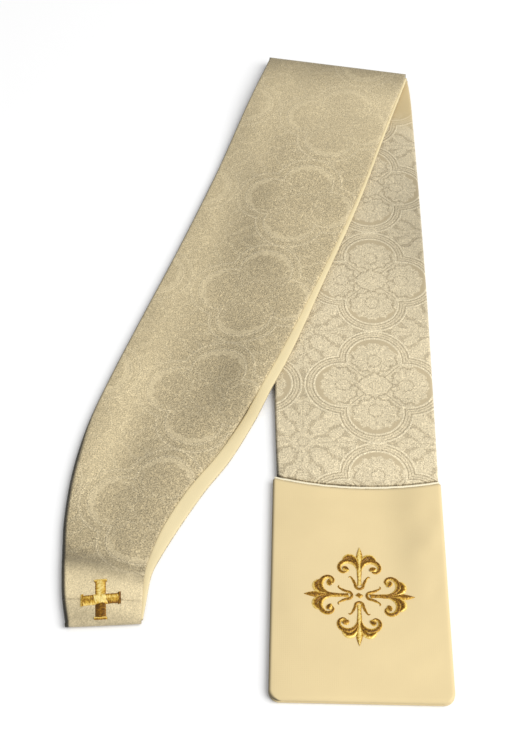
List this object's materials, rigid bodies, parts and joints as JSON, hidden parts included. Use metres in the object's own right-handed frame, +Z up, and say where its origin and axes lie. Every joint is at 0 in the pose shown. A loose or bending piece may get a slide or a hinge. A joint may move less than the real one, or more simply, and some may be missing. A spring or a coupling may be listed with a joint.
{
  "type": "clerical stole, folded",
  "caption": "Long narrow brocade stole with plain end panel and gold embroidered crosses, folded at the neck and laid flat in an inverted V.",
  "frame": {"origin": "on the table, under the middle of the whole bundle's box", "axes": "+Y away from the end panel towards the top fold, +X right, +Z up"},
  "size_m": [0.296, 0.689, 0.0143],
  "materials": {
    "brocade": "champagne figured brocade with a soft satin sheen",
    "plain_cloth": "matt cream plain cloth",
    "lining": "matt cream lining",
    "piping": "ivory satin piping",
    "gold_thread": "shiny gold embroidery thread"
  },
  "bodies": {
    "root": {"half_a_brocade": "brocade", "half_b_neck": "brocade", "half_b_leg": "brocade", "left_run_layers": "brocade", "right_run_layers": "brocade", "half_b_lining": "lining", "half_b_end_panel": "plain_cloth", "panel_layers": "plain_cloth", "panel_piping": "piping", "large_cross_top": "gold_thread", "large_cross_right": "gold_thread", "large_cross_bottom": "gold_thread", "large_cross_left": "gold_thread", "large_cross_centre": "gold_thread", "neck_cross": "gold_thread"}
  },
  "joints": []
}
